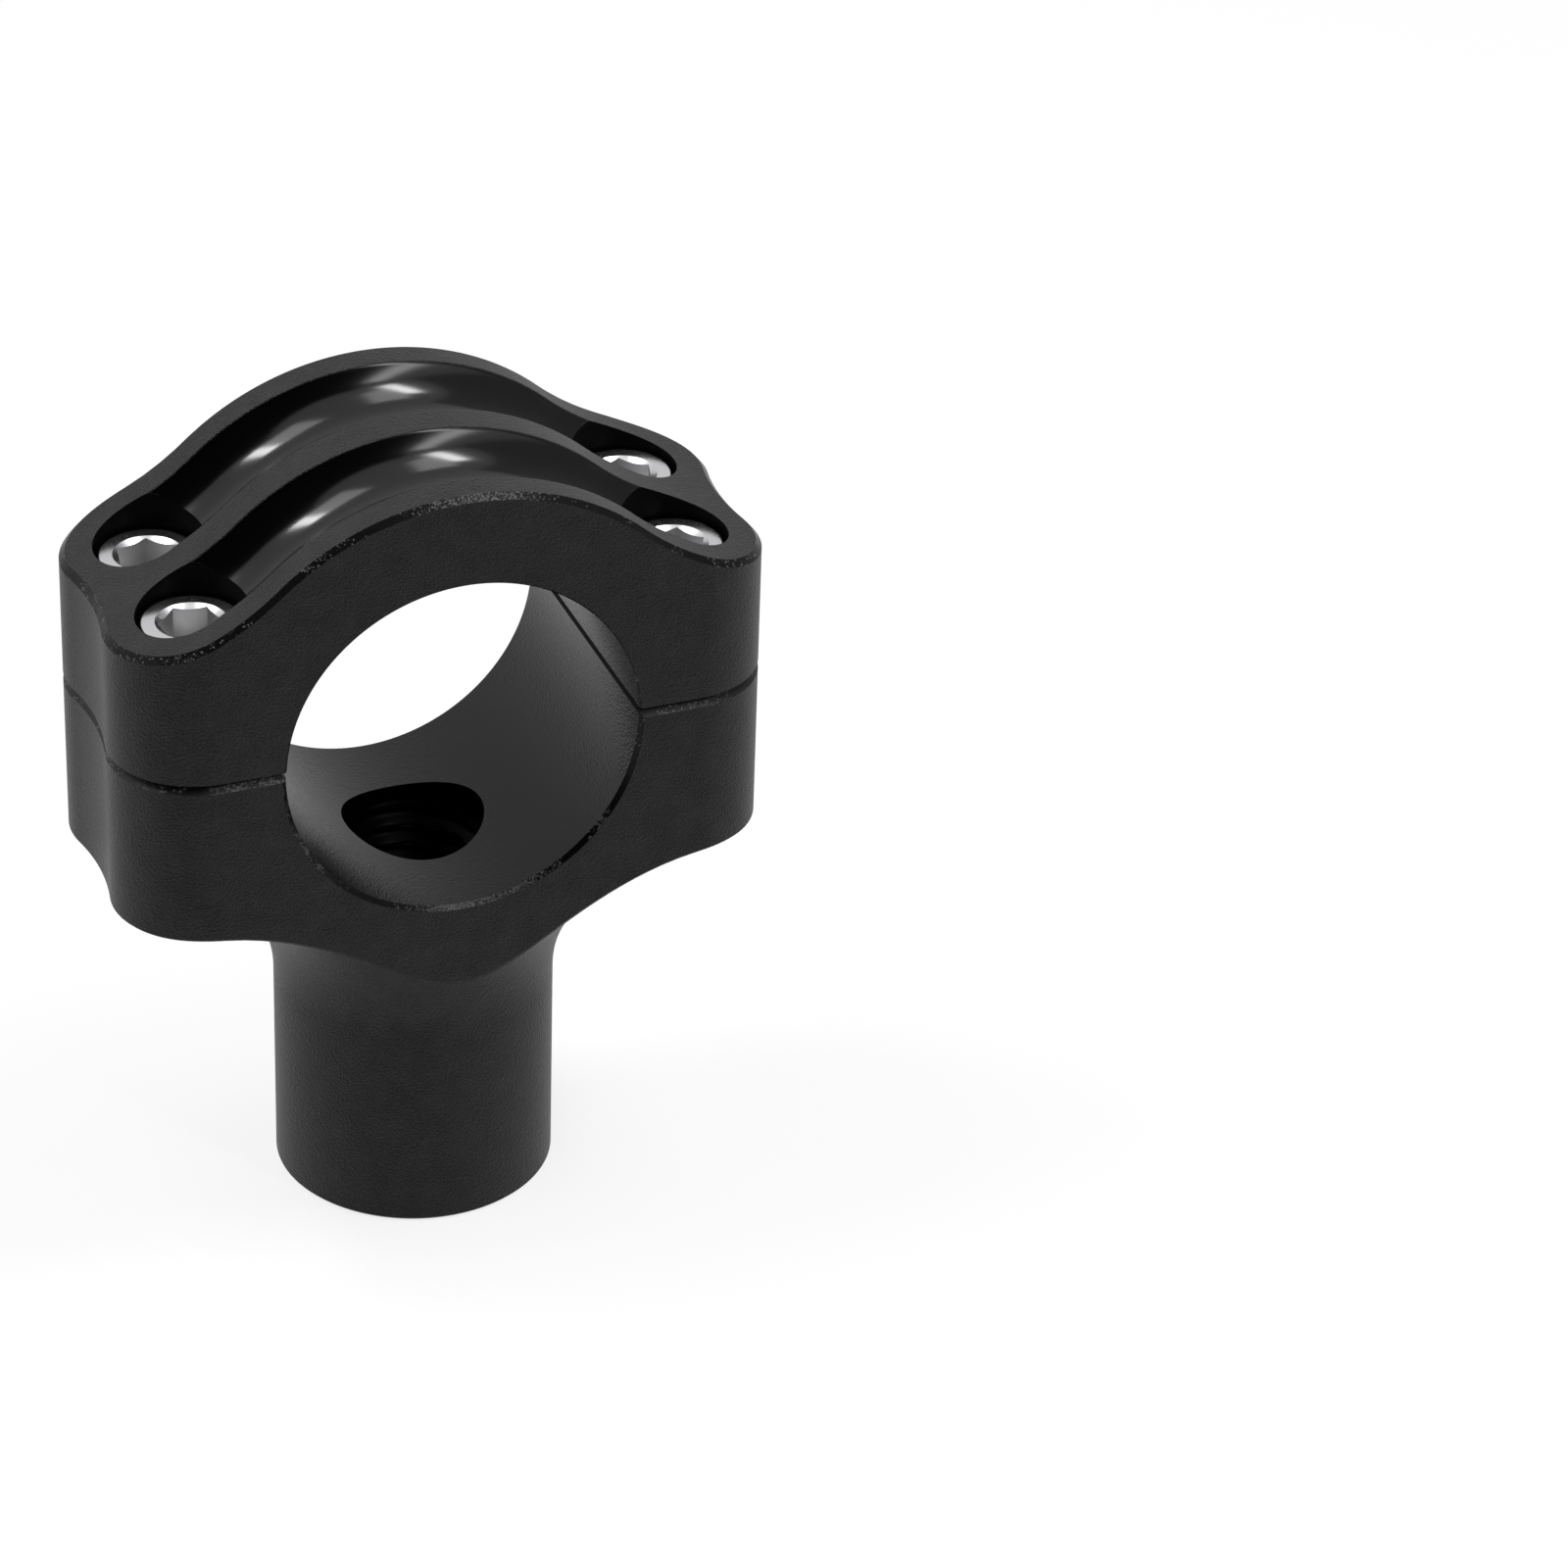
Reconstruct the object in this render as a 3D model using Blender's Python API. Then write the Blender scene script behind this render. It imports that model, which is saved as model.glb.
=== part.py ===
# Motorcycle handlebar riser: a round post that carries the lower half of a bar clamp,
# the cap that closes the clamp, and the four socket-head screws that hold the cap down.
# Metres, +Z up. The bar lies along Y, the ears of the clamp reach out along X, and the
# post stands on Z = 0 with its threaded mounting hole on the Z axis.

import math

import bpy
from mathutils import Vector

# Bar clamp
BAR_BORE_RADIUS = 0.015875  # for a 31.75 mm handlebar
BORE_AXIS_HEIGHT = 0.05018
CLAMP_WIDTH = 0.0281  # along the bar
BORE_TO_SCREW_WALL = 0.002435  # metal between the bore and a screw's hole
EAR_END_WALL = 0.00283  # metal between a screw's pocket and the end of its ear
LOBE_WALL = 0.00293  # metal round a pocket, in the round lobe on either side of an ear's end
VALLEY_DEPTH = 0.00066  # dip of an ear's end between its two lobes

# Split between body and cap
SPLIT_HEIGHT = 0.00046  # middle of the split, above the bore axis
SPLIT_GAP = 0.0003
BODY_SPLIT_CHAMFER = 0.0005
CAP_SPLIT_CHAMFER = 0.00015
BODY_BORE_CHAMFER = 0.0004
CAP_BORE_CHAMFER = 0.00015

# Cap, heights above the bore axis
CROWN_WALL = 0.008465  # over the bore, concentric with it
CROWN_BLEND_RADIUS = 0.02434  # hollow curve from the crown out to the ears
EAR_TOP = 0.01207
CAP_CHAMFER = 0.00053

# Grooves over the crown, one on each side of the middle ridge
MIDDLE_RIDGE_HALF_WIDTH = 0.00171
GROOVE_HALF_WIDTH = 0.00456
GROOVE_DEPTH = 0.0029  # at the middle of its round floor
GROOVE_RUN_OUT = 0.0003  # a groove's end, inside its pocket

# Body underside, turned about the post: flat under the ears' ends, with a flare down to the post
EAR_UNDERSIDE = 0.01468  # the flat, below the bore axis
FLARE_RADIUS = 0.0158
UNDERSIDE_CHAMFER = 0.0002

# Post
POST_SHOULDER = 0.00157  # from the clamp's front face in to the post
FOOT_CHAMFER = 0.0003
MOUNT_HOLE_RADIUS = 0.0063
MOUNT_HOLE_COUNTERSINK = 0.0006

# Screws, M6 thread, socket head for a 5 mm key
SCREW_RADIUS = 0.003
SCREW_TIP_CHAMFER = 0.0005
HEAD_RADIUS = 0.00435
HEAD_HEIGHT = 0.006
HEAD_SINK = 0.0001  # top of a head, below the ear's top
HEAD_EDGE_RADIUS = 0.0003
SOCKET_ACROSS_FLATS = 0.005
SOCKET_DEPTH = 0.003
SOCKET_MOUTH_CHAMFER = 0.0002
SCREW_CLEARANCE = 0.0003
POCKET_CLEARANCE = 0.00043  # round a head
SCREW_TIP_GAP = 0.00137  # from a screw's tip to the full bottom of its hole
TAPPED_HOLE_FLOOR = 0.00168  # from the flat underside up to the drill's tip
DRILL_TIP_RISE = 0.0016
DRILL_TIP_RADIUS = 0.0003

# Turning and milling steps
QUARTER_FRONT_STEPS = 12
QUARTER_LOBE_STEPS = 12
QUARTER_VALLEY_STEPS = 4
UNDERSIDE_STEPS = 14
GROOVE_STEPS = 52
GROOVE_ARC_STEPS = 12
EAR_STEPS = 6
BORE_SEGMENTS = 96
HOLE_SEGMENTS = 48
SCREW_SEGMENTS = 36

# How far a cutter runs past the surface it opens
CUTTER_OVERRUN = 0.001

# Share of the underside's rings that go to its flat part, against those on the flare
FLAT_RING_SHARE = 0.35

# Run over which the slope of the crown is taken
SLOPE_RUN = 0.00001

SMOOTH_ANGLE = math.radians(28.0)

HALF_WIDTH = CLAMP_WIDTH / 2.0
POST_RADIUS = HALF_WIDTH - POST_SHOULDER
CROWN_RADIUS = BAR_BORE_RADIUS + CROWN_WALL
POCKET_RADIUS = HEAD_RADIUS + POCKET_CLEARANCE
SCREW_HOLE_RADIUS = SCREW_RADIUS + SCREW_CLEARANCE
SCREW_REACH = BAR_BORE_RADIUS + BORE_TO_SCREW_WALL + SCREW_HOLE_RADIUS
SCREW_SPREAD = MIDDLE_RIDGE_HALF_WIDTH + GROOVE_HALF_WIDTH
GROOVE_RADIUS = (GROOVE_HALF_WIDTH**2 + GROOVE_DEPTH**2) / (2.0 * GROOVE_DEPTH)
EAR_REACH = SCREW_REACH + POCKET_RADIUS + EAR_END_WALL
LOBE_RADIUS = POCKET_RADIUS + LOBE_WALL
BODY_TOP = BORE_AXIS_HEIGHT + SPLIT_HEIGHT - SPLIT_GAP / 2.0
CAP_BOTTOM = BORE_AXIS_HEIGHT + SPLIT_HEIGHT + SPLIT_GAP / 2.0
HEAD_UNDERSIDE = BORE_AXIS_HEIGHT + EAR_TOP - HEAD_SINK - HEAD_HEIGHT
POCKET_FLOOR = HEAD_UNDERSIDE - SCREW_CLEARANCE
FLARE_TOP = BORE_AXIS_HEIGHT - EAR_UNDERSIDE
TAPPED_HOLE_BOTTOM = FLARE_TOP + TAPPED_HOLE_FLOOR + DRILL_TIP_RISE
SCREW_LENGTH = HEAD_UNDERSIDE - TAPPED_HOLE_BOTTOM - SCREW_TIP_GAP
CUTTER_TOP = BORE_AXIS_HEIGHT + CROWN_RADIUS + 3.0 * CUTTER_OVERRUN


def clear_scene():
    for item in list(bpy.data.objects):
        bpy.data.objects.remove(item, do_unlink=True)


def finish_material(name, colour, roughness, metallic):
    material = bpy.data.materials.new(name)
    material.use_nodes = True
    shader = material.node_tree.nodes["Principled BSDF"]
    shader.inputs["Base Color"].default_value = (*colour, 1.0)
    shader.inputs["Roughness"].default_value = roughness
    shader.inputs["Metallic"].default_value = metallic
    return material


def loft(name, rings, material=None):
    """Skin a stack of closed rings, all with the same number of points, and close both ends."""
    count = len(rings[0])
    points = [tuple(point) for ring in rings for point in ring]
    faces = [tuple(reversed(range(count)))]
    for level in range(len(rings) - 1):
        low = level * count
        high = low + count
        for step in range(count):
            after = (step + 1) % count
            faces.append((low + step, low + after, high + after, high + step))
    top = (len(rings) - 1) * count
    faces.append(tuple(range(top, top + count)))
    mesh = bpy.data.meshes.new(name)
    mesh.from_pydata(points, [], faces)
    mesh.validate()
    solid = bpy.data.objects.new(name, mesh)
    bpy.context.scene.collection.objects.link(solid)
    if material:
        mesh.materials.append(material)
        mesh.shade_smooth()
        mesh.set_sharp_from_angle(angle=SMOOTH_ANGLE)
    return solid


def circle(radius, height, segments):
    turn = 2.0 * math.pi / segments
    return [
        Vector((radius * math.cos(step * turn), radius * math.sin(step * turn), height))
        for step in range(segments)
    ]


def turned(name, outline, segments, material=None):
    """A solid turned about Z from a list of (radius, height), lowest first."""
    return loft(name, [circle(radius, height, segments) for radius, height in outline], material)


def as_cutter(solid):
    solid.hide_render = True
    solid.display_type = "WIRE"
    return solid


def cut(solid, cutter, operation="DIFFERENCE"):
    modifier = solid.modifiers.new(cutter.name, "BOOLEAN")
    modifier.operation = operation
    modifier.object = as_cutter(cutter)
    modifier.solver = "EXACT"


def blended_height(x, arc_radius, blend_radius, flat_height):
    """Height over the bore axis of a circular arch whose feet sweep out into flat ears."""
    x = abs(x)
    flat_start = math.sqrt((arc_radius + blend_radius) ** 2 - (flat_height + blend_radius) ** 2)
    arc_end = flat_start * arc_radius / (arc_radius + blend_radius)
    if x < arc_end:
        return math.sqrt(arc_radius**2 - x**2)
    if x < flat_start:
        return flat_height + blend_radius - math.sqrt(blend_radius**2 - (flat_start - x) ** 2)
    return flat_height


def cap_top(x):
    return BORE_AXIS_HEIGHT + blended_height(x, CROWN_RADIUS, CROWN_BLEND_RADIUS, EAR_TOP)


def plan_outline(inset):
    """Outline of the clamp seen from above, counter-clockwise from +X: flat front and back,
    and two lobes with a shallow valley between them at each ear's end."""
    lobe_x = EAR_REACH - LOBE_RADIUS
    lobe_y = HALF_WIDTH - LOBE_RADIUS
    valley_radius = (lobe_y**2 + VALLEY_DEPTH**2) / (2.0 * VALLEY_DEPTH) - LOBE_RADIUS
    valley_x = EAR_REACH - VALLEY_DEPTH + valley_radius
    meeting = math.atan2(lobe_y, valley_x - lobe_x)
    quarter = []
    for step in range(QUARTER_VALLEY_STEPS):
        angle = meeting * step / QUARTER_VALLEY_STEPS
        reach = valley_radius + inset
        quarter.append((valley_x - reach * math.cos(angle), reach * math.sin(angle)))
    for step in range(QUARTER_LOBE_STEPS):
        angle = -meeting + (math.pi / 2.0 + meeting) * step / QUARTER_LOBE_STEPS
        reach = LOBE_RADIUS - inset
        quarter.append((lobe_x + reach * math.cos(angle), lobe_y + reach * math.sin(angle)))
    corner = math.atan2(HALF_WIDTH, lobe_x)
    for step in range(QUARTER_FRONT_STEPS):
        angle = corner + (math.pi / 2.0 - corner) * step / QUARTER_FRONT_STEPS
        quarter.append((HALF_WIDTH / math.tan(angle), HALF_WIDTH - inset))
    middle = (0.0, HALF_WIDTH - inset)
    right_half = quarter + [middle]
    left_half = [(-x, y) for x, y in reversed(quarter)]
    back = right_half + left_half
    front = [(-x, -y) for x, y in back[1:-1]]
    return back + front


def plan_ring(inset, height):
    """The plan outline as a ring; height is a number, or a function of x."""
    ring = []
    for x, y in plan_outline(inset):
        ring.append(Vector((x, y, height(x) if callable(height) else height)))
    return ring


def underside_height(run):
    """Height of the underside at this distance from the post's wall."""
    if run >= FLARE_RADIUS:
        return FLARE_TOP
    return FLARE_TOP - FLARE_RADIUS + math.sqrt(FLARE_RADIUS**2 - (FLARE_RADIUS - run) ** 2)


def underside_point(edge, share):
    """A point of the underside, on the line from the post (share 0) to the clamp's edge (share 1)."""
    reach = math.hypot(edge[0], edge[1])
    run = reach - POST_RADIUS
    flare_run = min(FLARE_RADIUS, run)
    flare_turn = math.acos(1.0 - flare_run / FLARE_RADIUS)
    flare_weight = FLARE_RADIUS * flare_turn
    along = share * (flare_weight + (run - flare_run) * FLAT_RING_SHARE)
    if along <= flare_weight:
        travelled = FLARE_RADIUS * (1.0 - math.cos(along / FLARE_RADIUS))
    else:
        travelled = flare_run + (along - flare_weight) / FLAT_RING_SHARE
    scale = (POST_RADIUS + travelled) / reach
    return Vector((edge[0] * scale, edge[1] * scale, underside_height(travelled)))


def underside_rim():
    """Where the underside's chamfer meets the upright faces of the clamp."""
    ring = []
    for x, y in plan_outline(0.0):
        height = underside_height(math.hypot(x, y) - POST_RADIUS) + UNDERSIDE_CHAMFER
        ring.append(Vector((x, y, height)))
    return ring


def post_ring(radius, height):
    ring = []
    for x, y in plan_outline(UNDERSIDE_CHAMFER):
        reach = math.hypot(x, y)
        ring.append(Vector((x * radius / reach, y * radius / reach, height)))
    return ring


def bore_cutter(name, chamfer):
    """Bar bore along Y, opened out to a chamfer at both faces of the clamp."""
    mouth = BAR_BORE_RADIUS + chamfer + CUTTER_OVERRUN
    outline = [
        (mouth, -HALF_WIDTH - CUTTER_OVERRUN),
        (BAR_BORE_RADIUS, -HALF_WIDTH + chamfer),
        (BAR_BORE_RADIUS, HALF_WIDTH - chamfer),
        (mouth, HALF_WIDTH + CUTTER_OVERRUN),
    ]
    cutter = turned(name, outline, BORE_SEGMENTS)
    cutter.rotation_euler = (-math.pi / 2.0, 0.0, 0.0)
    cutter.location = (0.0, 0.0, BORE_AXIS_HEIGHT)
    return cutter


def screw_places():
    return {
        "front_left": (-SCREW_REACH, -SCREW_SPREAD),
        "front_right": (SCREW_REACH, -SCREW_SPREAD),
        "back_left": (-SCREW_REACH, SCREW_SPREAD),
        "back_right": (SCREW_REACH, SCREW_SPREAD),
    }


def drill(solid, name, outline):
    """Cut the same turned hole at each of the four screws."""
    for place, (x, y) in screw_places().items():
        cutter = turned(f"{name}_{place}", outline, HOLE_SEGMENTS)
        cutter.location = (x, y, 0.0)
        cut(solid, cutter)


def make_body(material):
    rings = [
        post_ring(POST_RADIUS - FOOT_CHAMFER, 0.0),
        post_ring(POST_RADIUS, FOOT_CHAMFER),
    ]
    edge = plan_outline(UNDERSIDE_CHAMFER)
    for step in range(UNDERSIDE_STEPS + 1):
        share = step / UNDERSIDE_STEPS
        rings.append([underside_point(point, share) for point in edge])
    rings.append(underside_rim())
    rings.append(plan_ring(0.0, BODY_TOP - BODY_SPLIT_CHAMFER))
    rings.append(plan_ring(BODY_SPLIT_CHAMFER, BODY_TOP))
    body = loft("riser_body", rings, material)

    cut(body, bore_cutter("body_bar_bore", BODY_BORE_CHAMFER))
    wide = MOUNT_HOLE_RADIUS + MOUNT_HOLE_COUNTERSINK
    mount_hole = [
        (wide + CUTTER_OVERRUN, -CUTTER_OVERRUN),
        (MOUNT_HOLE_RADIUS, MOUNT_HOLE_COUNTERSINK),
        (MOUNT_HOLE_RADIUS, BORE_AXIS_HEIGHT),
    ]
    cut(body, turned("mounting_hole", mount_hole, HOLE_SEGMENTS))
    tapped_hole = [
        (DRILL_TIP_RADIUS, TAPPED_HOLE_BOTTOM - DRILL_TIP_RISE),
        (SCREW_HOLE_RADIUS, TAPPED_HOLE_BOTTOM),
        (SCREW_HOLE_RADIUS, BODY_TOP + CUTTER_OVERRUN),
    ]
    drill(body, "tapped_hole", tapped_hole)
    return body


def crown_normal(x):
    """Outward normal of the cap's top line."""
    rise = (cap_top(x + SLOPE_RUN) - cap_top(x - SLOPE_RUN)) / (2.0 * SLOPE_RUN)
    return Vector((-rise, 0.0, 1.0)).normalized()


def crown_section():
    """Top of the cap across the bar, back to front: (y, depth) with two round-bottomed grooves."""
    half_turn = math.asin(GROOVE_HALF_WIDTH / GROOVE_RADIUS)
    across = []
    for step in range(GROOVE_ARC_STEPS + 1):
        turn = half_turn * (1.0 - 2.0 * step / GROOVE_ARC_STEPS)
        depth = GROOVE_RADIUS * math.cos(turn) - GROOVE_RADIUS + GROOVE_DEPTH
        across.append((GROOVE_RADIUS * math.sin(turn), depth))
    back = [(SCREW_SPREAD + y, depth) for y, depth in across]
    front = [(-SCREW_SPREAD + y, depth) for y, depth in across]
    return [(CLAMP_WIDTH, 0.0)] + back + front + [(-CLAMP_WIDTH, 0.0)]


def crown_form():
    """Block under the cap's top line, wider than the clamp, with the grooves running over it from
    screw to screw; the cap is what it shares with the upright plan of the clamp."""
    reach = EAR_REACH + CUTTER_OVERRUN
    run_out = SCREW_REACH + GROOVE_RUN_OUT
    stations = []
    for step in range(EAR_STEPS + 1):
        stations.append((-reach + (reach - run_out) * step / EAR_STEPS, 0.0))
    for step in range(GROOVE_STEPS + 1):
        stations.append((-SCREW_REACH + 2.0 * SCREW_REACH * step / GROOVE_STEPS, 1.0))
    for step in range(EAR_STEPS + 1):
        stations.append((run_out + (reach - run_out) * step / EAR_STEPS, 0.0))
    low = BORE_AXIS_HEIGHT - CUTTER_OVERRUN
    rings = []
    for x, groove in stations:
        normal = crown_normal(x)
        ring = [Vector((x, -CLAMP_WIDTH, low)), Vector((x, CLAMP_WIDTH, low))]
        for y, depth in crown_section():
            ring.append(Vector((x, y, cap_top(x))) - normal * depth * groove)
        rings.append(ring)
    return loft("crown_form", rings)


def make_cap(material):
    hip = 2.0 * CUTTER_OVERRUN
    rings = [
        plan_ring(CAP_SPLIT_CHAMFER, CAP_BOTTOM),
        plan_ring(0.0, CAP_BOTTOM + CAP_SPLIT_CHAMFER),
        plan_ring(0.0, lambda x: cap_top(x) - CAP_CHAMFER),
        plan_ring(CAP_CHAMFER + hip, lambda x: cap_top(x) + hip),
        plan_ring(CAP_CHAMFER + hip, CUTTER_TOP),
    ]
    cap = loft("clamp_cap", rings, material)
    cut(cap, crown_form(), "INTERSECT")
    cut(cap, bore_cutter("cap_bar_bore", CAP_BORE_CHAMFER))
    pocket = [
        (SCREW_HOLE_RADIUS, CAP_BOTTOM - CUTTER_OVERRUN),
        (SCREW_HOLE_RADIUS, POCKET_FLOOR),
        (POCKET_RADIUS, POCKET_FLOOR),
        (POCKET_RADIUS, CUTTER_TOP),
    ]
    drill(cap, "screw_pocket", pocket)
    return cap


def hexagon(across_flats, height, segments):
    """A hexagon with as many points as the circles that it is skinned to."""
    ring = []
    for step in range(segments):
        angle = 2.0 * math.pi * step / segments
        off_flat = (angle % (math.pi / 3.0)) - math.pi / 6.0
        radius = across_flats / 2.0 / math.cos(off_flat)
        ring.append(Vector((radius * math.cos(angle), radius * math.sin(angle), height)))
    return ring


def make_screw(name, place, turn, mesh_source, material):
    """Socket-head screw with its origin under the head, on the screw's axis."""
    if mesh_source:
        screw = bpy.data.objects.new(name, mesh_source)
        bpy.context.scene.collection.objects.link(screw)
    else:
        rings = [
            circle(SCREW_RADIUS - SCREW_TIP_CHAMFER, -SCREW_LENGTH, SCREW_SEGMENTS),
            circle(SCREW_RADIUS, -SCREW_LENGTH + SCREW_TIP_CHAMFER, SCREW_SEGMENTS),
            circle(SCREW_RADIUS, 0.0, SCREW_SEGMENTS),
            circle(HEAD_RADIUS, 0.0, SCREW_SEGMENTS),
        ]
        edge_steps = 4
        for step in range(edge_steps + 1):
            angle = math.pi / 2.0 * step / edge_steps
            radius = HEAD_RADIUS - HEAD_EDGE_RADIUS * (1.0 - math.cos(angle))
            height = HEAD_HEIGHT - HEAD_EDGE_RADIUS * (1.0 - math.sin(angle))
            rings.append(circle(radius, height, SCREW_SEGMENTS))
        mouth = SOCKET_ACROSS_FLATS + 2.0 * SOCKET_MOUTH_CHAMFER
        rings.append(circle(mouth / 2.0 / math.cos(math.pi / 6.0), HEAD_HEIGHT, SCREW_SEGMENTS))
        rings.append(hexagon(SOCKET_ACROSS_FLATS, HEAD_HEIGHT - SOCKET_MOUTH_CHAMFER, SCREW_SEGMENTS))
        rings.append(hexagon(SOCKET_ACROSS_FLATS, HEAD_HEIGHT - SOCKET_DEPTH, SCREW_SEGMENTS))
        screw = loft(name, rings, material)
    screw.location = (place[0], place[1], HEAD_UNDERSIDE)
    screw.rotation_euler = (0.0, 0.0, turn)
    return screw


clear_scene()

black_anodised = finish_material("black_anodised", (0.035, 0.035, 0.037), 0.5, 0.75)
bright_steel = finish_material("bright_steel", (0.74, 0.74, 0.75), 0.22, 1.0)

make_body(black_anodised)
make_cap(black_anodised)

# Each screw stopped at its own angle when it was tightened.
screw_turns = {"front_left": -14.0, "front_right": 3.0, "back_left": 18.0, "back_right": 16.0}
shared_mesh = None
for place_name, place in screw_places().items():
    screw_object = make_screw(
        f"cap_screw_{place_name}", place, math.radians(screw_turns[place_name]), shared_mesh, bright_steel
    )
    shared_mesh = screw_object.data
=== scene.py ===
import math

import bpy
from mathutils import Matrix, Vector


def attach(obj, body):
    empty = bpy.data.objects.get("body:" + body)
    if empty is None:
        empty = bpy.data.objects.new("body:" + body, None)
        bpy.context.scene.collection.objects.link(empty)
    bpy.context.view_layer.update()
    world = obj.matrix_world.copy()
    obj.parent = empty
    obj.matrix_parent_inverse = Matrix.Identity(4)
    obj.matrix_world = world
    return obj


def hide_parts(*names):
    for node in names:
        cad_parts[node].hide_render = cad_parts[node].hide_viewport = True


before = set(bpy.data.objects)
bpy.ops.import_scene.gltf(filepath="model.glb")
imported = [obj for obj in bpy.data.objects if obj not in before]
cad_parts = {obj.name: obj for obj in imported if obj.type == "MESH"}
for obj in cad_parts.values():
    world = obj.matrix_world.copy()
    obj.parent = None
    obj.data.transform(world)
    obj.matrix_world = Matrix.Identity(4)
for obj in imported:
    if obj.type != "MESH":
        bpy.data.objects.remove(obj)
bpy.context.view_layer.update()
print("frame loaded:", len(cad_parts), "nodes")

# All lengths are in metres. The bar lies along Y, the ears reach out along X,
# and the foot stands on Z = 0.


def newMaterial(name):
    material = bpy.data.materials.new(name)
    material.use_nodes = True
    tree = material.node_tree
    return material, tree, tree.nodes["Principled BSDF"]


def addNode(tree, kind, **settings):
    node = tree.nodes.new(kind)
    for key, value in settings.items():
        if key in node.inputs:
            node.inputs[key].default_value = value
        else:
            setattr(node, key, value)
    return node


def addMath(tree, operation, *values):
    # each value is a number or the output of another node
    node = addNode(tree, "ShaderNodeMath", operation=operation)
    for socket, value in zip(node.inputs, values):
        if isinstance(value, bpy.types.NodeSocket):
            tree.links.new(value, socket)
        else:
            socket.default_value = value
    return node.outputs[0]


def addRange(tree, value, given, wanted=(0.0, 1.0)):
    node = addNode(tree, "ShaderNodeMapRange", clamp=True)
    node.inputs["From Min"].default_value, node.inputs["From Max"].default_value = given
    node.inputs["To Min"].default_value, node.inputs["To Max"].default_value = wanted
    tree.links.new(value, node.inputs["Value"])
    return node.outputs[0]


def addTexture(tree, kind, scale, **settings):
    # laid out by the object's own coordinates, so it moves with the piece
    place = addNode(tree, "ShaderNodeTexCoord")
    texture = addNode(tree, kind, **settings)
    tree.links.new(place.outputs["Object"], texture.inputs["Vector"])
    if isinstance(scale, bpy.types.NodeSocket):
        tree.links.new(scale, texture.inputs["Scale"])
    else:
        texture.inputs["Scale"].default_value = scale
    return texture


def addBump(tree, shader, height, settings):
    bump = addNode(tree, "ShaderNodeBump", Strength=settings["bumpStrength"],
                   Distance=settings["bumpHeight"])
    tree.links.new(height, bump.inputs["Height"])
    tree.links.new(bump.outputs["Normal"], shader.inputs["Normal"])


def newGroup(name, inputs, outputs):
    group = bpy.data.node_groups.new(name, "ShaderNodeTree")
    for label, kind, value in inputs:
        socket = group.interface.new_socket(label, in_out="INPUT", socket_type=kind)
        socket.default_value = value
    for label, kind in outputs:
        group.interface.new_socket(label, in_out="OUTPUT", socket_type=kind)
    return group, group.nodes.new("NodeGroupInput"), group.nodes.new("NodeGroupOutput")


def placeGroup(tree, group, values):
    node = tree.nodes.new("ShaderNodeGroup")
    node.node_tree = group
    for label, value in values.items():
        node.inputs[label].default_value = value
    return node


def makeBlastGroup():
    # fine pits of bead blasting: a colour that wanders a little and a height for Bump
    settings = {
        "pitScale": 0.7,             # beside the grains
        "driftScale": 420.0,         # slow drift of the dye
        "grainShare": 0.7,
        "driftShare": 0.3,
        "contrast": 4.0,
        "darkest": 0.1,
        "roughnessSpread": 0.16,
    }
    group, source, sink = newGroup(
        "blastGrain",
        [("Colour", "NodeSocketColor", (0.01, 0.01, 0.01, 1.0)),
         ("Grain Size", "NodeSocketFloat", 0.00016),
         ("Mottle", "NodeSocketFloat", 0.25),
         ("Roughness", "NodeSocketFloat", 0.45)],
        [("Colour", "NodeSocketColor"), ("Height", "NodeSocketFloat"),
         ("Roughness", "NodeSocketFloat")],
    )
    link = group.links.new
    perGrain = addMath(group, "DIVIDE", 1.0, source.outputs["Grain Size"])
    grains = addTexture(group, "ShaderNodeTexNoise", perGrain, noise_dimensions="3D",
                        Detail=3.0, Roughness=0.6)
    perPit = addMath(group, "MULTIPLY", perGrain, settings["pitScale"])
    pits = addTexture(group, "ShaderNodeTexVoronoi", perPit, feature="F1", Randomness=1.0)
    drift = addTexture(group, "ShaderNodeTexNoise", settings["driftScale"],
                       noise_dimensions="3D", Detail=2.0, Roughness=0.5)
    height = addMath(group, "ADD", grains.outputs["Fac"], pits.outputs["Distance"])
    link(height, sink.inputs["Height"])

    driftPart = addMath(group, "MULTIPLY", drift.outputs["Fac"], settings["driftShare"])
    mixed = addMath(group, "MULTIPLY_ADD", grains.outputs["Fac"], settings["grainShare"], driftPart)
    centred = addMath(group, "SUBTRACT", mixed, 0.5)
    spread = addMath(group, "MULTIPLY", centred, settings["contrast"])
    amount = addMath(group, "MULTIPLY_ADD", spread, source.outputs["Mottle"], 1.0)
    kept = addMath(group, "MAXIMUM", amount, settings["darkest"])
    tint = addNode(group, "ShaderNodeVectorMath", operation="SCALE")
    link(source.outputs["Colour"], tint.inputs[0])
    link(kept, tint.inputs["Scale"])
    link(tint.outputs["Vector"], sink.inputs["Colour"])

    roughness = addMath(group, "MULTIPLY_ADD", centred, settings["roughnessSpread"],
                        source.outputs["Roughness"])
    link(roughness, sink.inputs["Roughness"])
    return group


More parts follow.
